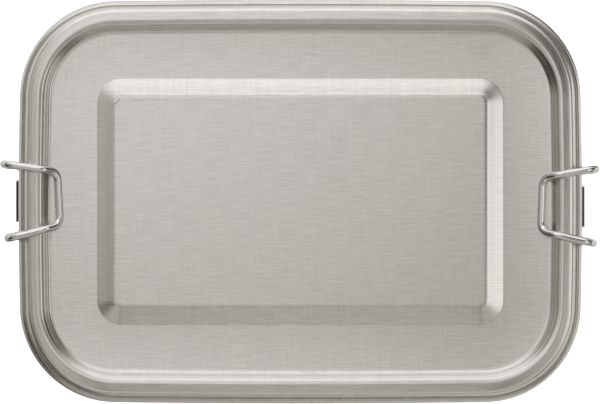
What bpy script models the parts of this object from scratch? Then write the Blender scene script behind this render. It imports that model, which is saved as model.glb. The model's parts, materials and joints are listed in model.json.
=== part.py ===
"""Stainless steel lunch box: drawn tub, lift-off lid with a silicone seal, two swinging wire clips.

Metres, +Z up. The origin is under the middle of the box, on the surface it stands on.
X runs along the box, and the clips are at its two ends.
"""

from math import atan2, cos, pi, radians, sin

import bmesh
import bpy
from mathutils import Euler, Vector

MM = 0.001

# Overall size of the lid, seen from above, and the sheet it is pressed from.
LENGTH = 180.4 * MM
WIDTH = 129.3 * MM
CORNER_RADIUS = 31.0 * MM
SIDE_BOW = 0.4 * MM
SHEET = 0.7 * MM
CLEARANCE = 0.35 * MM

# Heights above the table.
LID_FLAT_Z = 55.0 * MM
BEAD_HEIGHT = 2.6 * MM
CROWN_EXTRA = 0.35 * MM
PANEL_RISE = 1.5 * MM
HEM_Z = 52.7 * MM
TUB_RIM_Z = 54.7 * MM

# The raised panel in the middle of the lid, measured at its foot.
PANEL_LENGTH = 130.0 * MM
PANEL_WIDTH = 78.7 * MM
PANEL_RADIUS = 8.0 * MM
PANEL_SLOPE = 5.3 * MM

# The tub: its wall is this far inboard of the lid's edge at the rim, and tapers towards the base.
WALL_INSET = 6.8 * MM
WALL_TAPER = 1.5 * MM
BASE_RADIUS = 8.0 * MM
BASE_RECESS = 0.8 * MM
FOOT_WIDTH = 9.0 * MM

# The wire clips and the barrels they swing in.
WIRE_RADIUS = 1.25 * MM
PIVOT_X = 88.9 * MM
PIVOT_Z = 49.2 * MM
BORE_RADIUS = 1.6 * MM
BARREL_RADIUS = 2.3 * MM
BARREL_LENGTH = 13.4 * MM
PLATE_WIDTH = 20.0 * MM
PLATE_DROP = 13.0 * MM
CROSSBAR_INSET = 13.05 * MM
SHOULDER_REACH = 3.9 * MM
ARM_SPREAD = 12.0 * MM
CROSSBAR_SPREAD = 8.6 * MM

# Side of the box, where its bracket and its wire stand along Y, and how far the wire is turned askew.
CLIPS = {
    "left": {"side": -1, "bracket_y": 0.1 * MM, "wire_y": 0.4 * MM, "skew": radians(3.2)},
    "right": {"side": 1, "bracket_y": -1.7 * MM, "wire_y": -1.3 * MM, "skew": radians(2.0)},
}

CORNER_STEPS = 8
SIDE_STEPS = 4


def material(name, colour, roughness, metallic):
    """A plain Principled material."""
    made = bpy.data.materials.new(name)
    made.use_nodes = True
    shader = made.node_tree.nodes["Principled BSDF"]
    shader.inputs["Base Color"].default_value = (*colour, 1.0)
    shader.inputs["Roughness"].default_value = roughness
    shader.inputs["Metallic"].default_value = metallic
    return made


def add_object(name, data, finish):
    """Link a mesh or curve into the scene under a name, with its material."""
    made = bpy.data.objects.new(name, data)
    data.materials.append(finish)
    bpy.context.scene.collection.objects.link(made)
    return made


def outline(half_x, half_y, radius, z, bow=0.0):
    """Points round a rounded rectangle whose sides bow outwards by `bow` at their middles."""
    centre_x = half_x - bow - radius
    centre_y = half_y - bow - radius
    points = []
    for quarter in range(4):
        sign_x = 1 if quarter in (0, 3) else -1
        sign_y = 1 if quarter in (0, 1) else -1
        for step in range(CORNER_STEPS + 1):
            turn = (quarter + step / CORNER_STEPS) * pi / 2
            points.append(Vector((sign_x * centre_x + radius * cos(turn),
                                  sign_y * centre_y + radius * sin(turn), z)))
        for step in range(1, SIDE_STEPS):
            along = 1 - 2 * step / SIDE_STEPS
            bulge = bow * (1 - along * along)
            points.append(side_point(quarter, along, bulge, centre_x, centre_y, radius, z))
    return points


def side_point(quarter, along, bulge, centre_x, centre_y, radius, z):
    """A point on the side that follows corner `quarter`, `along` running from 1 to -1."""
    reach_x = centre_x + radius + bulge
    reach_y = centre_y + radius + bulge
    if quarter == 0:
        return Vector((along * centre_x, reach_y, z))
    if quarter == 1:
        return Vector((-reach_x, along * centre_y, z))
    if quarter == 2:
        return Vector((-along * centre_x, -reach_y, z))
    return Vector((reach_x, -along * centre_y, z))


def rim_ring(inset, z):
    """A ring parallel to the lid's edge, `inset` inboard of it."""
    return outline(LENGTH / 2 - inset, WIDTH / 2 - inset, CORNER_RADIUS - inset, z, SIDE_BOW)


def lid_ring(inset, z):
    """A ring of the lid: inboard of its bead's crown the long sides lie a little further in."""
    share = min(max((inset - 5.0 * MM) / (2.0 * MM), 0.0), 1.0)
    return outline(LENGTH / 2 - inset, WIDTH / 2 - inset - share * CROWN_EXTRA,
                   CORNER_RADIUS - inset, z, SIDE_BOW)


def panel_ring(grow, z):
    """A ring round the raised panel, `grow` outside its foot."""
    return outline(PANEL_LENGTH / 2 + grow, PANEL_WIDTH / 2 + grow,
                   max(PANEL_RADIUS + grow, 2.5 * MM), z)


def loft(name, rings, finish, closed=False):
    """Skin rings into one solid: capped at both ends, or joined end to start when closed."""
    mesh = bmesh.new()
    loops = [[mesh.verts.new(point) for point in ring] for ring in rings]
    pairs = list(zip(loops[:-1], loops[1:]))
    if closed:
        pairs.append((loops[-1], loops[0]))
    else:
        mesh.faces.new(loops[0])
        mesh.faces.new(loops[-1])
    for first, second in pairs:
        for i in range(len(first)):
            j = (i + 1) % len(first)
            mesh.faces.new((first[i], first[j], second[j], second[i]))
    bmesh.ops.recalc_face_normals(mesh, faces=mesh.faces)
    data = bpy.data.meshes.new(name)
    mesh.to_mesh(data)
    mesh.free()
    data.shade_smooth()
    data.set_sharp_from_angle(angle=radians(35))
    return add_object(name, data, finish)


def arc(centre, radius, start, end, steps):
    """Points (inset, z) along an arc; angles in degrees, 0 inboard and 90 up."""
    points = []
    for step in range(steps + 1):
        turn = radians(start + (end - start) * step / steps)
        points.append((centre[0] + radius * cos(turn), centre[1] + radius * sin(turn)))
    return points


def offset_line(points, distance):
    """The same line of (inset, z) points, moved to its left by `distance`."""
    moved = []
    for i, point in enumerate(points):
        before = points[max(i - 1, 0)]
        after = points[min(i + 1, len(points) - 1)]
        turn = atan2(after[1] - before[1], after[0] - before[0])
        moved.append((point[0] - distance * sin(turn), point[1] + distance * cos(turn)))
    return moved


def lid_bead():
    """The lid's top surface from its flat, over the bead that holds the seal, down to the hem."""
    flat, crown = LID_FLAT_Z, LID_FLAT_Z + BEAD_HEIGHT
    return [
        (10.7 * MM, flat),
        (9.8 * MM, flat + 0.06 * BEAD_HEIGHT),
        (9.1 * MM, flat + 0.26 * BEAD_HEIGHT),
        (8.2 * MM, flat + 0.62 * BEAD_HEIGHT),
        (7.4 * MM, flat + 0.86 * BEAD_HEIGHT),
        (6.8 * MM, crown - 0.14 * MM),
        (6.3 * MM, crown - 0.02 * MM),
        (5.9 * MM, crown),
        (5.0 * MM, crown - 0.11 * MM),
        (4.0 * MM, crown - 0.25 * MM),
        (3.3 * MM, crown - 0.43 * MM),
        (2.75 * MM, crown - 0.85 * MM),
        (2.35 * MM, crown - 1.6 * MM),
        (2.1 * MM, crown - 2.5 * MM),
        (1.85 * MM, crown - 3.5 * MM),
        (1.75 * MM, HEM_Z + 0.95 * MM),
    ]


def lid_hem():
    """The hem's rolled edge, sloping outwards from the bead's foot and under to the skirt."""
    return [
        (1.45 * MM, HEM_Z + 0.84 * MM),
        (1.15 * MM, HEM_Z + 0.66 * MM),
        (0.85 * MM, HEM_Z + 0.44 * MM),
        (0.6 * MM, HEM_Z + 0.19 * MM),
        (0.38 * MM, HEM_Z - 0.07 * MM),
        (0.18 * MM, HEM_Z - 0.35 * MM),
        (0.04 * MM, HEM_Z - 0.6 * MM),
        (0.0, HEM_Z - 0.68 * MM),
        (0.2 * MM, HEM_Z - 0.8 * MM),
        (0.9 * MM, HEM_Z - 0.8 * MM),
        (2.1 * MM, HEM_Z - 0.6 * MM),
    ]


def make_lid(finish):
    """The lid: raised panel, flat, bead over the tub's rim, skirt and rolled hem."""
    flat, top = LID_FLAT_Z, LID_FLAT_Z + PANEL_RISE
    slope = [(-PANEL_SLOPE - 0.9 * MM, top), (-PANEL_SLOPE, top - 0.1 * MM), (0.0, flat)]
    bead = lid_bead()
    under_bead = offset_line(bead, SHEET)
    rings = [panel_ring(grow, z) for grow, z in slope]
    rings += [lid_ring(inset, z) for inset, z in bead + lid_hem() + under_bead[::-1]]
    rings += [panel_ring(grow - 0.4 * MM, z - SHEET) for grow, z in slope[::-1]]
    return loft("lid", rings, finish)


def wall_inset(z):
    """How far the tub's outer wall is inboard of the lid's edge at height z."""
    return WALL_INSET + WALL_TAPER * (TUB_RIM_Z - z) / TUB_RIM_Z


def make_tub(finish):
    """The drawn tub: stamped base, rounded edge, tapered wall and a rim rolled outwards."""
    edge_inset = wall_inset(BASE_RADIUS)
    rounding = arc((edge_inset + BASE_RADIUS, BASE_RADIUS), BASE_RADIUS, 270, 180, 5)
    foot_end = edge_inset + BASE_RADIUS + FOOT_WIDTH
    outside = [
        (foot_end + 1.2 * MM, BASE_RECESS),
        (foot_end, 0.0),
        *rounding,
        (wall_inset(30 * MM), 30 * MM),
        (WALL_INSET, TUB_RIM_Z - 1.6 * MM),
    ]
    roll = arc((4.0 * MM, TUB_RIM_Z - 0.8 * MM), 0.8 * MM, 300, 90, 6)
    inside = offset_line(outside, -SHEET)
    inside[-1] = (WALL_INSET + SHEET, TUB_RIM_Z - 0.5 * MM)
    lip = [(WALL_INSET - 0.3 * MM, TUB_RIM_Z - SHEET), *roll, (WALL_INSET + 0.3 * MM, TUB_RIM_Z)]
    profile = outside + lip + inside[::-1]
    rings = [rim_ring(inset, z) for inset, z in profile]
    return loft("tub", rings, finish)


def make_seal(finish):
    """The silicone ring that fills the channel under the lid's bead."""
    low, high = TUB_RIM_Z + CLEARANCE, LID_FLAT_Z + BEAD_HEIGHT - SHEET - CLEARANCE
    outer, inner = 3.5 * MM, 6.5 * MM
    chamfer = 0.4 * MM
    profile = [
        (outer, low),
        (inner, low),
        (inner, high - chamfer),
        (inner - chamfer, high),
        (outer + 2 * chamfer, high),
        (outer, high - 2 * chamfer),
    ]
    return loft("lid_seal", [rim_ring(inset, z) for inset, z in profile], finish, closed=True)


def bracket_profile():
    """The bracket seen from its end as (out, up) from the pivot: plate, shelf and rolled barrel."""
    plate_top = PIVOT_Z - BARREL_RADIUS
    plate_low = plate_top - PLATE_DROP
    top_out = LENGTH / 2 - wall_inset(plate_top) + CLEARANCE - PIVOT_X
    low_out = LENGTH / 2 - wall_inset(plate_low) + CLEARANCE - PIVOT_X
    barrel = arc((0.0, 0.0), BARREL_RADIUS, -90, 210, 14)
    bore = arc((0.0, 0.0), BORE_RADIUS, 210, -90, 14)
    return barrel + bore + [
        (top_out, -BORE_RADIUS),
        (low_out, -BARREL_RADIUS - PLATE_DROP),
        (low_out + SHEET, -BARREL_RADIUS - PLATE_DROP),
        (top_out + SHEET, -BARREL_RADIUS),
    ]


def extruded(name, points, width):
    """A mesh object made by extruding an (out, up) outline along Y, centred on y = 0."""
    mesh = bmesh.new()
    verts = [mesh.verts.new((out, -width / 2, up)) for out, up in points]
    face = mesh.faces.new(verts)
    grown = bmesh.ops.extrude_face_region(mesh, geom=[face])
    moved = [item for item in grown["geom"] if isinstance(item, bmesh.types.BMVert)]
    bmesh.ops.translate(mesh, verts=moved, vec=(0, width, 0))
    bmesh.ops.recalc_face_normals(mesh, faces=mesh.faces)
    data = bpy.data.meshes.new(name)
    mesh.to_mesh(data)
    mesh.free()
    return data


def make_bracket(name, clip, finish):
    """A bracket spot-welded to the tub's end wall, its tab rolled into the clip's barrel."""
    profile = bracket_profile()
    plate = profile[-4:]
    place = Vector((clip["side"] * PIVOT_X, clip["bracket_y"], PIVOT_Z))
    bracket = add_object(name, extruded(name, profile, BARREL_LENGTH), finish)
    wings = add_object(name + "_wings", extruded(name + "_wings", plate, PLATE_WIDTH), finish)
    for piece in (bracket, wings):
        piece.location = place
        piece.rotation_euler.z = 0.0 if clip["side"] > 0 else pi
    wings.hide_render = True
    wings.display_type = "WIRE"
    union = bracket.modifiers.new("wings", "BOOLEAN")
    union.operation = "UNION"
    union.solver = "EXACT"
    union.object = wings
    return bracket


def rounded_path(corners, steps=5):
    """A path through 3D corners given as (point, bend radius), each bend turned as an arc."""
    path = [corners[0][0]]
    for i in range(1, len(corners) - 1):
        point, radius = corners[i]
        back = (corners[i - 1][0] - point).normalized()
        ahead = (corners[i + 1][0] - point).normalized()
        opening = back.angle(ahead)
        reach = radius * cos(opening / 2) / sin(opening / 2)
        centre = point + (back + ahead).normalized() * (radius / sin(opening / 2))
        start = point + back * reach - centre
        swing = pi - opening
        axis = start.cross(point + ahead * reach - centre).normalized()
        across = axis.cross(start)
        for step in range(steps + 1):
            turn = swing * step / steps
            path.append(centre + start * cos(turn) + across * sin(turn))
    path.append(corners[-1][0])
    return path


def clip_half(clip, hand):
    """Corners of one half of a clip, from its pin to the crossbar, as (out, along, up)."""
    shoulder = LENGTH / 2 + SHOULDER_REACH - PIVOT_X
    crossbar = LENGTH / 2 - CROSSBAR_INSET - PIVOT_X
    crossbar_up = LID_FLAT_Z + CLEARANCE + WIRE_RADIUS - PIVOT_Z
    arm_up = LID_FLAT_Z + BEAD_HEIGHT + WIRE_RADIUS + 1.1 * MM - PIVOT_Z
    kink_out = LENGTH / 2 - 8.2 * MM - PIVOT_X
    shape = [
        ((0.0, 0.8 * MM, 0.0), 0.0, False),
        ((0.0, 10.9 * MM, 0.0), 2.2 * MM, False),
        ((shoulder, 11.6 * MM, 0.2 * MM), 2.2 * MM, True),
        ((shoulder, ARM_SPREAD, arm_up - 0.4 * MM), 3.6 * MM, True),
        ((kink_out, 9.6 * MM, arm_up), 5.0 * MM, True),
        ((crossbar, CROSSBAR_SPREAD, crossbar_up), 3.6 * MM, True),
    ]
    corners = []
    for (out, along, up), radius, turned in shape:
        point = Vector((out, hand * along, up))
        if turned:
            point.rotate(Euler((0.0, 0.0, -clip["skew"])))
        corners.append((point, radius))
    return corners


def make_clip(name, clip, finish):
    """A clip bent from one wire: pins in the barrel, knees, arms over the bead and a crossbar."""
    corners = clip_half(clip, 1) + clip_half(clip, -1)[::-1]
    path = rounded_path(corners)
    data = bpy.data.curves.new(name, "CURVE")
    data.dimensions = "3D"
    data.bevel_depth = WIRE_RADIUS
    data.bevel_resolution = 2
    data.use_fill_caps = True
    spline = data.splines.new("POLY")
    spline.points.add(len(path) - 1)
    for spot, point in zip(spline.points, path):
        spot.co = (clip["side"] * point.x, point.y, point.z, 1.0)
    made = add_object(name, data, finish)
    made.location = (clip["side"] * PIVOT_X, clip["wire_y"], PIVOT_Z)
    return made


def build():
    """Clear the scene and make every piece of the box."""
    for old in list(bpy.data.objects):
        bpy.data.objects.remove(old, do_unlink=True)
    brushed = material("brushed_steel", (0.52, 0.50, 0.47), 0.38, 1.0)
    satin = material("satin_steel", (0.50, 0.49, 0.46), 0.45, 1.0)
    polished = material("polished_wire", (0.66, 0.65, 0.63), 0.12, 1.0)
    silicone = material("silicone", (0.78, 0.78, 0.76), 0.55, 0.0)
    make_tub(satin)
    make_lid(brushed)
    make_seal(silicone)
    for side, clip in CLIPS.items():
        make_bracket("bracket_" + side, clip, satin)
        make_clip("clip_" + side, clip, polished)


build()
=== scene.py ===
"""Looks of the stainless steel lunch box: brushed lid and tub, polished wire clips, silicone seal.

Metres, +Z up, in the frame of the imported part. X runs along the box, the clips are at its ends.
"""

import json
from math import atan2, cos, pi, radians, sin

import bmesh
import bpy
from mathutils import Euler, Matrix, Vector


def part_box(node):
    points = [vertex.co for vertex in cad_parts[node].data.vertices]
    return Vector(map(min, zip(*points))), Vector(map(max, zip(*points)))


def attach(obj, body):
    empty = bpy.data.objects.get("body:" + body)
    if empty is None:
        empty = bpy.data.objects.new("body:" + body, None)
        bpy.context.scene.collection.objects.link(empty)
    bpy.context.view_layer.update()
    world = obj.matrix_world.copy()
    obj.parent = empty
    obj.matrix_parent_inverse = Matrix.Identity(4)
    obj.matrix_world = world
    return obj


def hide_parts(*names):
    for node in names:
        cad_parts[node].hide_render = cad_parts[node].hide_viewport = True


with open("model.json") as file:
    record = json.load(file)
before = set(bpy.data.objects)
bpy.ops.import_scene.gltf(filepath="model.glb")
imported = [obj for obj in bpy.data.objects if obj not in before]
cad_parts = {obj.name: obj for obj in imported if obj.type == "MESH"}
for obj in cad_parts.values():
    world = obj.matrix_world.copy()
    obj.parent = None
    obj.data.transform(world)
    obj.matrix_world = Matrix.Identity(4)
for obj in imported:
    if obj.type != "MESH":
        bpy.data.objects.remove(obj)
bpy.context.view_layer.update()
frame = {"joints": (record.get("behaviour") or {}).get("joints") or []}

MM = 0.001

# Driving sizes, read from the frame.
LID_LOW, LID_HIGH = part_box("lid")
TUB_RIM_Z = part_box("tub")[1].z
SEAL_LOW, SEAL_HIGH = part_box("lid_seal")
LENGTH = LID_HIGH.x - LID_LOW.x
WIDTH = LID_HIGH.y - LID_LOW.y
BEAD_TOP_Z = LID_HIGH.z
JOINTS = {joint["name"]: joint for joint in frame["joints"]}

# The lid: its edge, the flat, the bead over the tub's rim and the rolled hem.
CORNER_RADIUS = 31.0 * MM
SIDE_BOW = 0.4 * MM
SHEET = 0.7 * MM
BEAD_HEIGHT = 2.6 * MM
# Inboard of the bead's crown the long sides lie this much further in, from one inset to another.
CROWN_EXTRA = 0.35 * MM
CROWN_FROM, CROWN_TO = 5.0 * MM, 7.0 * MM
LID_FLAT_Z = BEAD_TOP_Z - BEAD_HEIGHT
HEM_Z = LID_LOW.z + 0.8 * MM

# The raised panel in the middle of the lid, measured at its foot.
PANEL_LENGTH = 130.0 * MM
PANEL_WIDTH = 78.7 * MM
PANEL_RADIUS = 8.0 * MM
PANEL_TOP_RADIUS = 2.5 * MM
PANEL_SLOPE = 5.3 * MM
PANEL_RISE = 1.5 * MM

# The tub's wall is this far inboard of the lid's edge at the rim, and tapers towards the base.
WALL_INSET = 6.8 * MM
WALL_TAPER = 1.5 * MM
BASE_RADIUS = 8.0 * MM
BASE_RECESS = 0.8 * MM
FOOT_WIDTH = 9.0 * MM
RIM_ROLL_INSET = 4.0 * MM
RIM_ROLL_RADIUS = 0.8 * MM

# The silicone ring, measured from the lid's edge.
SEAL_OUTER, SEAL_INNER = 3.5 * MM, 6.5 * MM
SEAL_EDGE = 0.35 * MM

# The wire clips and the barrels they swing in.
WIRE_RADIUS = 1.25 * MM
BORE_RADIUS = 1.6 * MM
BARREL_RADIUS = 2.3 * MM
BARREL_LENGTH = 13.4 * MM
PLATE_WIDTH = 20.0 * MM
PLATE_DROP = 13.0 * MM
CLEARANCE = 0.35 * MM
BARREL_EYE = 0.4 * MM
SLOT_START, SLOT_END = 30, 80
# The wire's corners, from the pins in to the crossbar: inset or reach from the lid's edge, spread
# from the clip's middle and radius of the bend there.
PIN_TIP_SPREAD, PIN_SPREAD, PIN_BEND = 0.8 * MM, 10.9 * MM, 2.2 * MM
KNEE_SPREAD, KNEE_UP, KNEE_BEND = 11.6 * MM, 0.2 * MM, 2.2 * MM
SHOULDER_REACH, SHOULDER_SPREAD, SHOULDER_BEND = 3.9 * MM, 12.0 * MM, 3.6 * MM
ARM_OVER_BEAD, ARM_RISE = 1.1 * MM, 0.4 * MM
KINK_INSET, KINK_SPREAD, KINK_BEND = 8.2 * MM, 9.6 * MM, 5.0 * MM
CROSSBAR_INSET, CROSSBAR_SPREAD, CROSSBAR_BEND = 13.05 * MM, 8.6 * MM, 3.6 * MM

# Side of the box, the middle of its bracket along Y, and how far its wire stands askew.
CLIPS = {
    "left": {"side": -1, "bracket_y": 0.1 * MM, "skew": radians(3.2)},
    "right": {"side": 1, "bracket_y": -1.7 * MM, "skew": radians(2.0)},
}

CORNER_STEPS = 28
SIDE_STEPS = 24


def outline(half_x, half_y, radius, z, bow=0.0):
    """Points round a rounded rectangle whose sides bow outwards by `bow` at their middles."""
    centre_x = half_x - bow - radius
    centre_y = half_y - bow - radius
    points = []
    for quarter in range(4):
        sign_x = 1 if quarter in (0, 3) else -1
        sign_y = 1 if quarter in (0, 1) else -1
        for step in range(CORNER_STEPS + 1):
            turn = (quarter + step / CORNER_STEPS) * pi / 2
            points.append(Vector((sign_x * centre_x + radius * cos(turn),
                                  sign_y * centre_y + radius * sin(turn), z)))
        for step in range(1, SIDE_STEPS):
            along = 1 - 2 * step / SIDE_STEPS
            bulge = bow * (1 - along * along)
            points.append(side_point(quarter, along, bulge, centre_x, centre_y, radius, z))
    return points


def side_point(quarter, along, bulge, centre_x, centre_y, radius, z):
    """A point on the side that follows corner `quarter`, `along` running from 1 to -1."""
    reach_x = centre_x + radius + bulge
    reach_y = centre_y + radius + bulge
    if quarter == 0:
        return Vector((along * centre_x, reach_y, z))
    if quarter == 1:
        return Vector((-reach_x, along * centre_y, z))
    if quarter == 2:
        return Vector((-along * centre_x, -reach_y, z))
    return Vector((reach_x, -along * centre_y, z))


def rim_ring(inset, z):
    """A ring parallel to the lid's edge, `inset` inboard of it."""
    return outline(LENGTH / 2 - inset, WIDTH / 2 - inset, CORNER_RADIUS - inset, z, SIDE_BOW)


def lid_ring(inset, z):
    """A ring of the lid: inboard of its bead's crown the long sides lie a little further in."""
    share = min(max((inset - CROWN_FROM) / (CROWN_TO - CROWN_FROM), 0.0), 1.0)
    return outline(LENGTH / 2 - inset, WIDTH / 2 - inset - share * CROWN_EXTRA,
                   CORNER_RADIUS - inset, z, SIDE_BOW)


def panel_ring(grow, z):
    """A ring round the raised panel, `grow` outside its foot."""
    return outline(PANEL_LENGTH / 2 + grow, PANEL_WIDTH / 2 + grow,
                   max(PANEL_RADIUS + grow, PANEL_TOP_RADIUS), z)


def arc(centre, radius, start, end, steps):
    """Points (inset, z) along an arc; angles in degrees, 0 inboard and 90 up."""
    points = []
    for step in range(steps + 1):
        turn = radians(start + (end - start) * step / steps)
        points.append((centre[0] + radius * cos(turn), centre[1] + radius * sin(turn)))
    return points


def smooth_line(points, steps=5):
    """The Catmull-Rom curve through (inset, z) points, `steps` pieces to each stretch."""
    line = []
    for i in range(len(points) - 1):
        before = points[max(i - 1, 0)]
        start, end = points[i], points[i + 1]
        after = points[min(i + 2, len(points) - 1)]
        for step in range(steps):
            t = step / steps
            line.append(tuple(
                0.5 * (2 * b + (c - a) * t + (2 * a - 5 * b + 4 * c - d) * t ** 2
                       + (3 * b - a - 3 * c + d) * t ** 3)
                for a, b, c, d in zip(before, start, end, after)))
    line.append(points[-1])
    return line


def offset_line(points, distance):
    """The same line of (inset, z) points, moved to its left by `distance`."""
    moved = []
    for i, point in enumerate(points):
        before = points[max(i - 1, 0)]
        after = points[min(i + 1, len(points) - 1)]
        turn = atan2(after[1] - before[1], after[0] - before[0])
        moved.append((point[0] - distance * sin(turn), point[1] + distance * cos(turn)))
    return moved


def loft(name, rings, closed=False, flat_rings=()):
    """Skin rings into one solid: capped at both ends, or joined end to start when closed.

    UVs are metres: along the ring and across it, or plan X and Y for faces between flat rings.
    """
    mesh = bmesh.new()
    uv_layer = mesh.loops.layers.uv.new("UVMap")
    loops = [[mesh.verts.new(point) for point in ring] for ring in rings]
    pairs = [(i, i + 1) for i in range(len(loops) - 1)]
    if closed:
        pairs.append((len(loops) - 1, 0))
    else:
        for cap in (loops[0], loops[-1]):
            face = mesh.faces.new(cap)
            for corner in face.loops:
                corner[uv_layer].uv = corner.vert.co.xy
    across = 0.0
    for a, b in pairs:
        first, second = loops[a], loops[b]
        step = (second[0].co - first[0].co).length
        along = 0.0
        for i in range(len(first)):
            j = (i + 1) % len(first)
            face = mesh.faces.new((first[i], first[j], second[j], second[i]))
            ahead = along + (rings[0][j] - rings[0][i]).length
            places = [(along, across), (ahead, across), (ahead, across + step), (along, across + step)]
            for corner, place in zip(face.loops, places):
                corner[uv_layer].uv = corner.vert.co.xy if a in flat_rings else place
            along = ahead
        across += step
    bmesh.ops.recalc_face_normals(mesh, faces=mesh.faces)
    data = bpy.data.meshes.new(name)
    mesh.to_mesh(data)
    mesh.free()
    data.shade_smooth()
    data.set_sharp_from_angle(angle=radians(40))
    return add_piece(name, data)


def add_piece(name, data):
    """Link a mesh or curve into the scene under a name."""
    made = bpy.data.objects.new(name, data)
    bpy.context.scene.collection.objects.link(made)
    return made


def dress(piece, body, node, finish):
    """Give a piece its material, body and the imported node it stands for."""
    piece.data.materials.clear()
    piece.data.materials.append(finish)
    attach(piece, body)
    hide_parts(node)


# Shapes


def lid_bead():
    """The lid's top surface from its flat, over the bead that holds the seal, down to the hem."""
    flat, crown = LID_FLAT_Z, BEAD_TOP_Z
    return smooth_line([
        (10.7 * MM, flat),
        (9.8 * MM, flat + 0.06 * BEAD_HEIGHT),
        (9.1 * MM, flat + 0.26 * BEAD_HEIGHT),
        (8.2 * MM, flat + 0.62 * BEAD_HEIGHT),
        (7.4 * MM, flat + 0.86 * BEAD_HEIGHT),
        (6.8 * MM, crown - 0.14 * MM),
        (6.3 * MM, crown - 0.02 * MM),
        (5.9 * MM, crown),
        (5.0 * MM, crown - 0.11 * MM),
        (4.0 * MM, crown - 0.25 * MM),
        (3.3 * MM, crown - 0.43 * MM),
        (2.75 * MM, crown - 0.85 * MM),
        (2.35 * MM, crown - 1.6 * MM),
        (2.1 * MM, crown - 2.5 * MM),
        (1.85 * MM, crown - 3.5 * MM),
        (1.78 * MM, HEM_Z + 0.56 * MM),
    ])


def lid_hem():
    """The hem's rolled edge, sloping outwards from the bead's foot and under to the skirt."""
    return smooth_line([
        (1.66 * MM, HEM_Z + 0.58 * MM),
        (1.45 * MM, HEM_Z + 0.84 * MM),
        (1.15 * MM, HEM_Z + 0.66 * MM),
        (0.85 * MM, HEM_Z + 0.44 * MM),
        (0.6 * MM, HEM_Z + 0.19 * MM),
        (0.38 * MM, HEM_Z - 0.07 * MM),
        (0.18 * MM, HEM_Z - 0.35 * MM),
        (0.04 * MM, HEM_Z - 0.6 * MM),
        (0.0, HEM_Z - 0.68 * MM),
        (0.2 * MM, HEM_Z - 0.8 * MM),
        (0.9 * MM, HEM_Z - 0.8 * MM),
        (2.1 * MM, HEM_Z - 0.6 * MM),
    ], 4)


def panel_slope():
    """The panel's edge as (grow, z), from its flat top over a soft crease down to its foot."""
    top = LID_FLAT_Z + PANEL_RISE
    return smooth_line([
        (-PANEL_SLOPE - 1.5 * MM, top),
        (-PANEL_SLOPE - 0.8 * MM, top - 0.01 * MM),
        (-PANEL_SLOPE, top - 0.11 * MM),
        (-PANEL_SLOPE + 0.7 * MM, top - 0.29 * MM),
        (-PANEL_SLOPE / 2, top - 0.78 * MM),
        (-0.4 * MM, LID_FLAT_Z + 0.10 * MM),
        (0.0, LID_FLAT_Z + 0.01 * MM),
        (0.4 * MM, LID_FLAT_Z),
    ], 4)


def make_lid(finish):
    """The lid: raised panel, flat, bead over the tub's rim, skirt and rolled hem."""
    slope = panel_slope()
    bead = lid_bead()
    under_bead = offset_line(bead, SHEET)
    rings = [panel_ring(grow, z) for grow, z in slope]
    rings += [lid_ring(inset, z) for inset, z in bead + lid_hem() + under_bead[::-1]]
    rings += [panel_ring(grow - 0.4 * MM, z - SHEET) for grow, z in slope[::-1]]
    flat_rings = set(range(len(slope)))
    lid = loft("lid_shell", rings, flat_rings=flat_rings)
    dress(lid, "lid", "lid", finish)


def wall_inset(z):
    """How far the tub's outer wall is inboard of the lid's edge at height z."""
    return WALL_INSET + WALL_TAPER * (TUB_RIM_Z - z) / TUB_RIM_Z


def make_tub(finish):
    """The drawn tub: stamped base, rounded edge, tapered wall and a rim rolled outwards."""
    edge_inset = wall_inset(BASE_RADIUS)
    rounding = arc((edge_inset + BASE_RADIUS, BASE_RADIUS), BASE_RADIUS, 270, 180, 14)
    foot_end = edge_inset + BASE_RADIUS + FOOT_WIDTH
    stamp = smooth_line([
        (foot_end + 2.4 * MM, BASE_RECESS),
        (foot_end + 1.5 * MM, BASE_RECESS - 0.03 * MM),
        (foot_end + 0.8 * MM, BASE_RECESS / 2),
        (foot_end + 0.1 * MM, 0.03 * MM),
        (foot_end - 0.6 * MM, 0.0),
    ], 3)
    wall = [(wall_inset(z * MM), z * MM) for z in (16, 24, 32, 40, 48)]
    outside = [*stamp, *rounding, *wall, (WALL_INSET, TUB_RIM_Z - 1.6 * MM)]
    roll = arc((RIM_ROLL_INSET, TUB_RIM_Z - RIM_ROLL_RADIUS), RIM_ROLL_RADIUS, 300, 90, 18)
    inside = offset_line(outside, -SHEET)
    inside[-1] = (WALL_INSET + SHEET, TUB_RIM_Z - 0.5 * MM)
    lip = [(WALL_INSET - 0.3 * MM, TUB_RIM_Z - SHEET), *roll, (WALL_INSET + 0.3 * MM, TUB_RIM_Z)]
    rings = [rim_ring(inset, z) for inset, z in outside + lip + inside[::-1]]
    tub = loft("tub_shell", rings)
    dress(tub, "tub", "tub", finish)


def make_seal(finish):
    """The silicone ring that fills the channel under the lid's bead."""
    low, high = SEAL_LOW.z, SEAL_HIGH.z
    outer, inner, edge = SEAL_OUTER, SEAL_INNER, SEAL_EDGE
    profile = arc((outer + edge, low + edge), edge, 180, 270, 4)
    profile += arc((inner - edge, low + edge), edge, 270, 360, 4)
    profile += arc((inner - edge, high - edge), edge, 0, 90, 4)
    profile += arc((outer + 2 * edge, high - 2 * edge), 2 * edge, 90, 180, 6)
    rings = [rim_ring(inset, z) for inset, z in profile]
    seal = loft("seal_ring", rings, closed=True)
    dress(seal, "lid", "lid_seal", finish)


def ring_sector(start, end, steps=30):
    """Part of the barrel's wall between two angles, as (out, up) from the pivot."""
    outer = arc((0.0, 0.0), BARREL_RADIUS, start, end, steps)
    return outer + arc((0.0, 0.0), BORE_RADIUS, end, start, steps)


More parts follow.
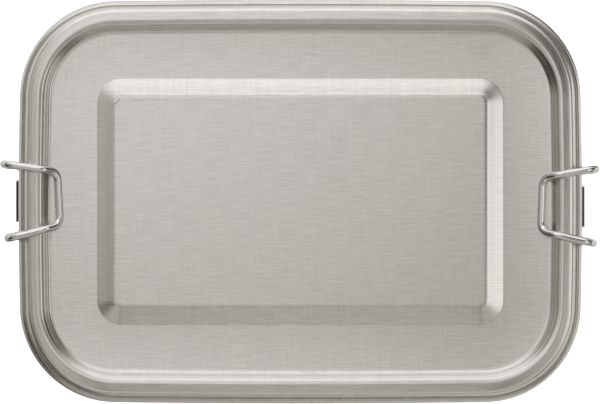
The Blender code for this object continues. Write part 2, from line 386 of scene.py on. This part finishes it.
def plate_outline(pivot):
    """The plate against the tub's wall, as (out, up) from the pivot, its foot edges eased."""
    plate_top = pivot.z - BARREL_RADIUS
    plate_low = plate_top - PLATE_DROP
    top_out = LENGTH / 2 - wall_inset(plate_top) + CLEARANCE - abs(pivot.x)
    low_out = LENGTH / 2 - wall_inset(plate_low) + CLEARANCE - abs(pivot.x)
    foot = -BARREL_RADIUS - PLATE_DROP
    return [
        (top_out, -BORE_RADIUS),
        (low_out, foot + 0.1 * MM),
        (low_out + 0.1 * MM, foot),
        (low_out + SHEET - 0.25 * MM, foot),
        (low_out + SHEET, foot + 0.25 * MM),
        (top_out + SHEET, -BARREL_RADIUS),
    ]


def add_prism(mesh, points, low, high):
    """Extrude an (out, up) outline along Y from low to high into the mesh."""
    verts = [mesh.verts.new((out, low, up)) for out, up in points]
    face = mesh.faces.new(verts)
    grown = bmesh.ops.extrude_face_region(mesh, geom=[face])
    moved = [item for item in grown["geom"] if isinstance(item, bmesh.types.BMVert)]
    bmesh.ops.translate(mesh, verts=moved, vec=(0, high - low, 0))


def make_bracket(end, clip, finish):
    """A bracket spot-welded to the tub's end wall, its tab rolled into the clip's slotted barrel."""
    pivot = Vector(JOINTS["clip_" + end + "_swing"]["pos_m"])
    plate = plate_outline(pivot)
    edge, eye = BARREL_LENGTH / 2, BARREL_LENGTH / 2 - BARREL_EYE
    mesh = bmesh.new()
    for low, high in ((-edge, -eye), (eye, edge)):
        add_prism(mesh, ring_sector(-90, 210) + plate, low, high)
    add_prism(mesh, ring_sector(-90, SLOT_START) + plate, -eye, eye)
    add_prism(mesh, ring_sector(SLOT_END, 210), -eye, eye)
    for low, high in ((-PLATE_WIDTH / 2, -edge), (edge, PLATE_WIDTH / 2)):
        add_prism(mesh, plate, low, high)
    bmesh.ops.recalc_face_normals(mesh, faces=mesh.faces)
    name = "bracket_" + end
    data = bpy.data.meshes.new(name + "_barrel")
    mesh.to_mesh(data)
    mesh.free()
    data.shade_smooth()
    data.set_sharp_from_angle(angle=radians(35))
    bracket = add_piece(name + "_barrel", data)
    bracket.location = (pivot.x, clip["bracket_y"], pivot.z)
    bracket.rotation_euler.z = 0.0 if clip["side"] > 0 else pi
    dress(bracket, "tub", name, finish)


def rounded_path(corners, steps=14):
    """A path through 3D corners given as (point, bend radius), each bend turned as an arc."""
    path = [corners[0][0]]
    for i in range(1, len(corners) - 1):
        point, radius = corners[i]
        back = (corners[i - 1][0] - point).normalized()
        ahead = (corners[i + 1][0] - point).normalized()
        opening = back.angle(ahead)
        reach = radius * cos(opening / 2) / sin(opening / 2)
        centre = point + (back + ahead).normalized() * (radius / sin(opening / 2))
        start = point + back * reach - centre
        swing = pi - opening
        axis = start.cross(point + ahead * reach - centre).normalized()
        across = axis.cross(start)
        for step in range(steps + 1):
            turn = swing * step / steps
            path.append(centre + start * cos(turn) + across * sin(turn))
    path.append(corners[-1][0])
    return path


def clip_half(clip, pivot, hand):
    """One half of a clip, from its pin to the crossbar: (out, along, up) corners and bend radii.

    All but the pin stands askew with the rest of the wire.
    """
    shoulder = LENGTH / 2 + SHOULDER_REACH - abs(pivot.x)
    crossbar = LENGTH / 2 - CROSSBAR_INSET - abs(pivot.x)
    crossbar_up = LID_FLAT_Z + CLEARANCE + WIRE_RADIUS - pivot.z
    arm_up = BEAD_TOP_Z + WIRE_RADIUS + ARM_OVER_BEAD - pivot.z
    kink = LENGTH / 2 - KINK_INSET - abs(pivot.x)
    shape = [
        ((0.0, PIN_TIP_SPREAD, 0.0), 0.0, False),
        ((0.0, PIN_SPREAD, 0.0), PIN_BEND, False),
        ((shoulder, KNEE_SPREAD, KNEE_UP), KNEE_BEND, True),
        ((shoulder, SHOULDER_SPREAD, arm_up - ARM_RISE), SHOULDER_BEND, True),
        ((kink, KINK_SPREAD, arm_up), KINK_BEND, True),
        ((crossbar, CROSSBAR_SPREAD, crossbar_up), CROSSBAR_BEND, True),
    ]
    corners = []
    for (out, along, up), radius, askew in shape:
        point = Vector((out, hand * along, up))
        if askew:
            point.rotate(Euler((0.0, 0.0, -clip["skew"])))
        corners.append((point, radius))
    return corners


def make_clip(end, clip, finish):
    """A clip bent from one wire: pins in the barrel, knees, arms over the bead and a crossbar."""
    pivot = Vector(JOINTS["clip_" + end + "_swing"]["pos_m"])
    path = rounded_path(clip_half(clip, pivot, 1) + clip_half(clip, pivot, -1)[::-1])
    name = "wire_" + end
    data = bpy.data.curves.new(name, "CURVE")
    data.dimensions = "3D"
    data.bevel_depth = WIRE_RADIUS
    data.bevel_resolution = 8
    data.use_fill_caps = True
    spline = data.splines.new("POLY")
    spline.points.add(len(path) - 1)
    for spot, point in zip(spline.points, path):
        spot.co = (clip["side"] * point.x, point.y, point.z, 1.0)
    wire = add_piece(name, data)
    wire.location = pivot
    dress(wire, "clip_" + end, "clip_" + end, finish)


# Materials

LID_STEEL = (0.62, 0.60, 0.57)
TUB_STEEL = (0.60, 0.585, 0.56)
LID_ROUGHNESS, TUB_ROUGHNESS, BRACKET_ROUGHNESS = 0.24, 0.36, 0.30
# How much wider the steel scatters light across its brushing than along it.
ANISOTROPY = 0.6
# Features per metre along X, Y and Z.
GROOVES = (130.0, 2200.0, 2200.0)
CROSS_GRAIN = (1500.0, 70.0, 70.0)
SMUDGES = (22.0, 30.0, 30.0)
# Painted shade: the tone inside the barrel's roll, where little light gets in.
ROLL_SHADE = 0.42


class Nodes:
    """A node tree with short calls for the nodes that these materials and the world use."""

    def __init__(self, tree):
        self.tree = tree

    def add(self, kind, **settings):
        node = self.tree.nodes.new("ShaderNode" + kind)
        for name, value in settings.items():
            setattr(node, name, value)
        return node

    def put(self, socket, value):
        """Link an output to a socket, or set a plain value on it."""
        if isinstance(value, bpy.types.NodeSocket):
            self.tree.links.new(value, socket)
        else:
            socket.default_value = value

    def math(self, operation, *values):
        node = self.add("Math", operation=operation)
        for socket, value in zip(node.inputs, values):
            self.put(socket, value)
        return node.outputs["Value"]

    def vector(self, operation, *values, output="Vector"):
        node = self.add("VectorMath", operation=operation)
        for socket, value in zip(node.inputs, values):
            self.put(socket, value)
        return node.outputs[output]

    def ramp(self, value, low, high, to_low=0.0, to_high=1.0, smooth=True):
        """Map low..high to to_low..to_high, with soft ends when smooth."""
        node = self.add("MapRange", interpolation_type="SMOOTHSTEP" if smooth else "LINEAR")
        for name, given in (("Value", value), ("From Min", low), ("From Max", high),
                            ("To Min", to_low), ("To Max", to_high)):
            self.put(node.inputs[name], given)
        return node.outputs["Result"]

    def patch(self, place, x, y, half_x, half_y, soft, gain):
        """`gain` inside an ellipse on a flat sheet, falling to 0 over `soft` times its size."""
        offset = self.vector("SUBTRACT", place, (x, y, 0.0))
        scaled = self.vector("DIVIDE", offset, (half_x, half_y, 1.0))
        distance = self.vector("LENGTH", scaled, output="Value")
        return self.ramp(distance, 1.0, 1.0 + soft, gain, 0.0)

    def noise(self, place, scale, detail=2.0, roughness=0.5):
        """Noise stretched by `scale`, features per metre along X, Y and Z."""
        mapping = self.add("Mapping")
        self.put(mapping.inputs["Vector"], place)
        mapping.inputs["Scale"].default_value = scale
        node = self.add("TexNoise")
        self.put(node.inputs["Vector"], mapping.outputs["Vector"])
        node.inputs["Scale"].default_value = 1.0
        node.inputs["Detail"].default_value = detail
        node.inputs["Roughness"].default_value = roughness
        return node.outputs["Fac"]


def brushed_steel(name, colour, roughness, place="UV", shade=None):
    """Steel brushed along X, with fine grooves, a faint cross grain and soft smudges.

    `shade` adds nodes that give a factor on the tone: the lid's scuffs, and painted shade inside the
    brackets' rolls.
    """
    made = bpy.data.materials.new(name)
    made.use_nodes = True
    nodes = Nodes(made.node_tree)
    shader = made.node_tree.nodes["Principled BSDF"]
    where = nodes.add("TexCoord").outputs[place]
    object_place = nodes.add("TexCoord").outputs["Object"]
    grooves = nodes.noise(where, GROOVES, 3.0, 0.6)
    cross = nodes.noise(where, CROSS_GRAIN, 2.0, 0.5)
    smudge = nodes.noise(object_place, SMUDGES, 3.0, 0.55)
    grain = nodes.math("ADD", nodes.math("MULTIPLY", grooves, 0.75), nodes.math("MULTIPLY", cross, 0.25))
    tone = nodes.math("ADD", nodes.ramp(grain, 0.3, 0.7, 0.88, 1.12, False),
                      nodes.ramp(smudge, 0.3, 0.7, -0.012, 0.012, False))
    if shade:
        tone = nodes.math("MULTIPLY", tone, shade(nodes))
    tint = nodes.add("Mix", data_type="RGBA", blend_type="MULTIPLY")
    tint.inputs["Factor"].default_value = 1.0
    tint.inputs["A"].default_value = (*colour, 1.0)
    nodes.put(tint.inputs["B"], tone)
    nodes.put(shader.inputs["Base Color"], tint.outputs["Result"])
    rough = nodes.math("ADD", nodes.ramp(grain, 0.3, 0.7, roughness - 0.03, roughness + 0.03, False),
                       nodes.ramp(smudge, 0.35, 0.7, -0.015, 0.02, False))
    nodes.put(shader.inputs["Roughness"], rough)
    bump = nodes.add("Bump")
    bump.inputs["Strength"].default_value = 0.25
    bump.inputs["Distance"].default_value = 0.02 * MM
    nodes.put(bump.inputs["Height"], grain)
    nodes.put(shader.inputs["Normal"], bump.outputs["Normal"])
    shader.inputs["Metallic"].default_value = 1.0
    shader.inputs["Anisotropic"].default_value = ANISOTROPY
    across = nodes.add("CombineXYZ")
    across.inputs["Y"].default_value = 1.0
    across.inputs["Z"].default_value = 0.3
    nodes.put(shader.inputs["Tangent"], across.outputs["Vector"])
    return made


def painted_roll_shade(nodes):
    """Painted shade: dark inside the barrel's bore and on its sheared slot, measured from the pivot's
    axis.
    """
    flat = nodes.vector("MULTIPLY", nodes.add("TexCoord").outputs["Object"], (1.0, 0.0, 1.0))
    radius = nodes.vector("LENGTH", flat, output="Value")
    return nodes.ramp(radius, BARREL_RADIUS - 0.25 * MM, BARREL_RADIUS - 0.1 * MM,
                      ROLL_SHADE, 1.0)


# Scuffs along the panel's crease near a corner: two ends in plan, half width, loss of tone.
SCUFFS = [
    ((-57.8 * MM, 32.5 * MM), (-42.2 * MM, 32.6 * MM), 0.20 * MM, 0.10),
    ((-52.8 * MM, 32.3 * MM), (-50.3 * MM, 32.3 * MM), 0.22 * MM, 0.12),
    ((-57.9 * MM, 32.6 * MM), (-59.2 * MM, 31.1 * MM), 0.30 * MM, 0.34),
    ((-50.3 * MM, 26.0 * MM), (-43.0 * MM, 31.0 * MM), 0.35 * MM, 0.035),
]


def scuffed(nodes):
    """1 on clean steel, less on the scuffs."""
    place = nodes.vector("MULTIPLY", nodes.add("TexCoord").outputs["Object"], (1.0, 1.0, 0.0))
    tone = 1.0
    for start, end, half, loss in SCUFFS:
        start, end = Vector((*start, 0.0)), Vector((*end, 0.0))
        run = end - start
        offset = nodes.vector("SUBTRACT", place, start)
        along = nodes.vector("DOT_PRODUCT", offset, run / run.length_squared, output="Value")
        along = nodes.math("MINIMUM", nodes.math("MAXIMUM", along, 0.0), 1.0)
        nearest = nodes.vector("SCALE", run)
        nodes.put(nearest.node.inputs["Scale"], along)
        distance = nodes.vector("DISTANCE", offset, nearest, output="Value")
        tone = nodes.math("SUBTRACT", tone, nodes.ramp(distance, 0.5 * half, 1.5 * half, loss, 0.0))
    return tone


def polished_wire():
    """Drawn and polished stainless wire with faint draw lines and small smears."""
    made = bpy.data.materials.new("polished_wire")
    made.use_nodes = True
    nodes = Nodes(made.node_tree)
    shader = made.node_tree.nodes["Principled BSDF"]
    place = nodes.add("TexCoord").outputs["Object"]
    smear = nodes.noise(place, (260.0, 260.0, 260.0), 3.0, 0.6)
    tint = nodes.add("Mix", data_type="RGBA")
    nodes.put(tint.inputs["Factor"], smear)
    tint.inputs["A"].default_value = (0.60, 0.59, 0.58, 1.0)
    tint.inputs["B"].default_value = (0.68, 0.67, 0.665, 1.0)
    nodes.put(shader.inputs["Base Color"], tint.outputs["Result"])
    nodes.put(shader.inputs["Roughness"], nodes.ramp(smear, 0.3, 0.75, 0.07, 0.13, False))
    bump = nodes.add("Bump")
    bump.inputs["Strength"].default_value = 0.08
    bump.inputs["Distance"].default_value = 0.02 * MM
    nodes.put(bump.inputs["Height"], nodes.noise(place, (900.0, 900.0, 900.0), 2.0))
    nodes.put(shader.inputs["Normal"], bump.outputs["Normal"])
    shader.inputs["Metallic"].default_value = 1.0
    return made


def silicone():
    """Matt translucent-white silicone with a fine moulded grain."""
    made = bpy.data.materials.new("silicone")
    made.use_nodes = True
    nodes = Nodes(made.node_tree)
    shader = made.node_tree.nodes["Principled BSDF"]
    place = nodes.add("TexCoord").outputs["Object"]
    grain = nodes.noise(place, (700.0, 700.0, 700.0), 3.0)
    tint = nodes.add("Mix", data_type="RGBA")
    nodes.put(tint.inputs["Factor"], grain)
    tint.inputs["A"].default_value = (0.70, 0.70, 0.68, 1.0)
    tint.inputs["B"].default_value = (0.78, 0.78, 0.76, 1.0)
    nodes.put(shader.inputs["Base Color"], tint.outputs["Result"])
    nodes.put(shader.inputs["Roughness"], nodes.ramp(grain, 0.3, 0.7, 0.5, 0.62, False))
    bump = nodes.add("Bump")
    bump.inputs["Strength"].default_value = 0.2
    bump.inputs["Distance"].default_value = 0.03 * MM
    nodes.put(bump.inputs["Height"], grain)
    nodes.put(shader.inputs["Normal"], bump.outputs["Normal"])
    shader.inputs["Subsurface Weight"].default_value = 0.15
    shader.inputs["Subsurface Scale"].default_value = 1.5 * MM
    return made


# Studio

CAMERA_X, CAMERA_Y = -0.10 * MM, -0.16 * MM
CAMERA_LENS = 500.0
SENSOR_WIDTH = 36.0
FRAME_WIDTH = 191.7 * MM
PANEL_TOP_Z = LID_FLAT_Z + PANEL_RISE


def make_camera():
    """A long lens straight above the lid, its frame just wider than the clips."""
    data = bpy.data.cameras.new("camera")
    data.lens = CAMERA_LENS
    data.sensor_width = SENSOR_WIDTH
    camera = bpy.data.objects.new("camera", data)
    height = FRAME_WIDTH * CAMERA_LENS / SENSOR_WIDTH
    camera.location = (CAMERA_X, CAMERA_Y, PANEL_TOP_Z + height)
    bpy.context.scene.collection.objects.link(camera)
    bpy.context.scene.camera = camera


# The floor's size, how far it lies below the box and how much light it throws back.
FLOOR_RADIUS = 2.5
FLOOR_DROP = 0.2 * MM
FLOOR_WHITE = 0.8
# Light that the floor gives by itself, growing over this range towards +Y and +X.
GLOW_FROM, GLOW_TO = -0.10, 0.12
GLOW_ALONG_Y, GLOW_ALONG_X = 0.35, 0.18
# Painted shade on the floor by two corners, out of the picture and seen only in reflections: centre,
# half sizes, softness, loss.
FLOOR_SHADES = [
    (0.165, 0.125, 0.080, 0.060, 0.3, 0.85),
    (0.370, 0.320, 0.220, 0.210, 0.1, 0.80),
    (-0.132, -0.128, 0.050, 0.050, 0.4, 0.75),
    (-0.340, -0.300, 0.180, 0.170, 0.1, 0.75),
]


def make_floor():
    """A white sweep under the box, which the camera sees as pure white; the box sees painted shade
    patches and a glow on it.
    """
    mesh = bmesh.new()
    bmesh.ops.create_circle(mesh, cap_ends=True, segments=96, radius=FLOOR_RADIUS)
    data = bpy.data.meshes.new("floor")
    mesh.to_mesh(data)
    mesh.free()
    floor = add_piece("floor", data)
    floor.location.z = -FLOOR_DROP
    made = bpy.data.materials.new("white_sweep")
    made.use_nodes = True
    nodes = Nodes(made.node_tree)
    shader = made.node_tree.nodes["Principled BSDF"]
    shader.inputs["Roughness"].default_value = 0.9
    shader.inputs["Emission Color"].default_value = (1.0, 1.0, 1.0, 1.0)
    place = nodes.add("TexCoord").outputs["Object"]
    # Painted shade: patches darken the floor's colour, for the box to reflect.
    light = 1.0
    for shade in FLOOR_SHADES:
        light = nodes.math("SUBTRACT", light, nodes.patch(place, *shade))
    light = nodes.math("MAXIMUM", light, 0.1)
    tint = nodes.add("CombineXYZ")
    for axis in "XYZ":
        nodes.put(tint.inputs[axis], nodes.math("MULTIPLY", light, FLOOR_WHITE))
    nodes.put(shader.inputs["Base Color"], tint.outputs["Vector"])
    split = nodes.add("SeparateXYZ")
    nodes.put(split.inputs["Vector"], place)
    glow = nodes.math("ADD", nodes.ramp(split.outputs["Y"], GLOW_FROM, GLOW_TO, 0.0, GLOW_ALONG_Y),
                      nodes.ramp(split.outputs["X"], GLOW_FROM, GLOW_TO, 0.0, GLOW_ALONG_X))
    glow = nodes.math("MULTIPLY", glow, light)
    seen = nodes.add("LightPath").outputs["Is Camera Ray"]
    nodes.put(shader.inputs["Emission Strength"], nodes.math("ADD", glow, seen))
    data.materials.append(made)


# The room's dim parts are warm: green and blue at the dim level, growing to 1 at the bright one.
DIM_LEVEL, BRIGHT_LEVEL = 0.25, 0.90
DIM_GREEN, DIM_BLUE = 0.93, 0.79


def tinted(nodes, light):
    """The colour of a part of the room: warm where it is dim, neutral where it is bright."""
    tint = nodes.add("CombineXYZ")
    tint.inputs["X"].default_value = 1.0
    nodes.put(tint.inputs["Y"], nodes.ramp(light, DIM_LEVEL, BRIGHT_LEVEL, DIM_GREEN, 1.0, False))
    nodes.put(tint.inputs["Z"], nodes.ramp(light, DIM_LEVEL, BRIGHT_LEVEL, DIM_BLUE, 1.0, False))
    return tint.outputs["Vector"]


# The overhead diffuser: its height, half size and brightness.
DIFFUSER_Z = 0.65
DIFFUSER_HALF = 0.70
DIFFUSER_BASE = 0.61
# Soft patches on it: centre x and y, half sizes where full, how much further until gone, gain.
PATCHES = [
    (-0.10, 0.14, 0.05, 0.05, 5.0, 0.46),
    (0.00, 0.56, 0.42, 0.19, 0.2, 0.97),
    (-0.34, 0.36, 0.12, 0.09, 0.4, 0.50),
    (0.50, -0.05, 0.17, 0.16, 0.5, 0.78),
    (0.27, 0.16, 0.10, 0.15, 0.4, -0.55),
    (-0.39, -0.18, 0.07, 0.09, 0.5, -0.55),
    (-0.30, 0.02, 0.10, 0.12, 0.3, -0.12),
    (-0.46, 0.06, 0.05, 0.08, 0.5, 0.14),
    (-0.60, -0.12, 0.08, 0.20, 0.3, -0.50),
    (0.00, -0.14, 0.25, 0.05, 0.8, -0.10),
    (-0.11, -0.26, 0.03, 0.13, 0.4, -0.32),
    (0.12, -0.26, 0.03, 0.13, 0.4, -0.32),
]


def make_diffuser():
    """A square diffuser over the box, brighter at its back and right edges, out of camera view."""
    mesh = bmesh.new()
    bmesh.ops.create_grid(mesh, x_segments=1, y_segments=1, size=DIFFUSER_HALF)
    data = bpy.data.meshes.new("diffuser")
    mesh.to_mesh(data)
    mesh.free()
    diffuser = add_piece("diffuser", data)
    diffuser.location.z = DIFFUSER_Z
    diffuser.visible_camera = False
    made = bpy.data.materials.new("diffuser_glow")
    made.use_nodes = True
    nodes = Nodes(made.node_tree)
    made.node_tree.nodes.remove(made.node_tree.nodes["Principled BSDF"])
    emission = nodes.add("Emission")
    place = nodes.add("TexCoord").outputs["Object"]
    light = DIFFUSER_BASE
    for patch in PATCHES:
        light = nodes.math("ADD", light, nodes.patch(place, *patch))
    nodes.put(emission.inputs["Strength"], nodes.math("MAXIMUM", light, 0.05))
    nodes.put(emission.inputs["Color"], tinted(nodes, light))
    nodes.put(made.node_tree.nodes["Material Output"].inputs["Surface"], emission.outputs["Emission"])
    data.materials.append(made)


# The room below the diffuser: light low walls with a dim gap above them.
WALLS = 0.60
GAP_LEVEL = 0.34
GAP_LOW, GAP_HIGH = 11.0, 30.0
SOFT_EDGE = 3.0
# Soft windows: azimuth, half width, soft edge, lowest and highest elevation, brightness added.
SOFTBOXES = [
    (90.0, 42.0, 16.0, -4.0, 60.0, 0.75),
    (0.0, 30.0, 10.0, -6.0, 7.0, 0.50),
    (270.0, 40.0, 14.0, 22.0, 40.0, 0.14),
]
# Darker parts of the room: azimuth, half width, soft edge, lowest and highest elevation, loss.
DARK_CORNERS = [
    (33.0, 24.0, 10.0, -12.0, 60.0, 0.86),
    (208.0, 20.0, 8.0, -14.0, 60.0, 0.85),
    (312.0, 9.0, 8.0, -12.0, 24.0, 0.60),
]


def make_world():
    """The room all round: low walls, a dark gap above them, softboxes and darker corners."""
    world = bpy.data.worlds.new("studio")
    world.use_nodes = True
    bpy.context.scene.world = world
    nodes = Nodes(world.node_tree)
    background = world.node_tree.nodes["Background"]
    split = nodes.add("SeparateXYZ")
    nodes.put(split.inputs["Vector"], nodes.add("TexCoord").outputs["Generated"])
    x, y, z = (split.outputs[axis] for axis in "XYZ")
    elevation = nodes.math("MULTIPLY", nodes.math("ARCSINE", z), 180.0 / pi)
    azimuth = nodes.math("MULTIPLY", nodes.math("ARCTAN2", y, x), 180.0 / pi)

    def window(middle, half, edge, low, high):
        """1 inside a range of azimuth and elevation, falling softly to 0 outside it."""
        turn = away_from(nodes, azimuth, middle)
        across = nodes.ramp(turn, half - edge / 2, half + edge, 1.0, 0.0)
        bottom = nodes.ramp(elevation, low - SOFT_EDGE, low + SOFT_EDGE)
        top = nodes.ramp(elevation, high - SOFT_EDGE, high + SOFT_EDGE, 1.0, 0.0)
        return nodes.math("MULTIPLY", nodes.math("MULTIPLY", across, bottom), top)

    light = nodes.ramp(elevation, GAP_LOW - SOFT_EDGE, GAP_LOW + 1.0, WALLS, GAP_LEVEL)
    light = nodes.math("ADD", light, nodes.ramp(elevation, GAP_HIGH, GAP_HIGH + 5.0, 0.0, WALLS))
    for *place, loss in DARK_CORNERS:
        kept = nodes.math("SUBTRACT", 1.0, nodes.math("MULTIPLY", window(*place), loss))
        light = nodes.math("MULTIPLY", light, kept)
    for *place, gain in SOFTBOXES:
        light = nodes.math("ADD", light, nodes.math("MULTIPLY", window(*place), gain))
    nodes.put(background.inputs["Strength"], light)
    nodes.put(background.inputs["Color"], tinted(nodes, light))


def away_from(nodes, azimuth, middle):
    """The angle in degrees between an azimuth and `middle`, either way round."""
    shifted = nodes.math("ADD", azimuth, 540.0 - middle)
    wrapped = nodes.math("MODULO", shifted, 360.0)
    return nodes.math("ABSOLUTE", nodes.math("SUBTRACT", wrapped, 180.0))


def main():
    lid_finish = brushed_steel("lid_brushed_steel", LID_STEEL, LID_ROUGHNESS, "UV", scuffed)
    tub_finish = brushed_steel("tub_satin_steel", TUB_STEEL, TUB_ROUGHNESS)
    bracket_finish = brushed_steel("bracket_steel", TUB_STEEL, BRACKET_ROUGHNESS, "Object", painted_roll_shade)
    wire_finish = polished_wire()
    make_lid(lid_finish)
    make_tub(tub_finish)
    make_seal(silicone())
    for end, clip in CLIPS.items():
        make_bracket(end, clip, bracket_finish)
        make_clip(end, clip, wire_finish)
    make_floor()
    make_camera()
    make_diffuser()
    make_world()
    bpy.context.scene.view_settings.view_transform = "Standard"


main()
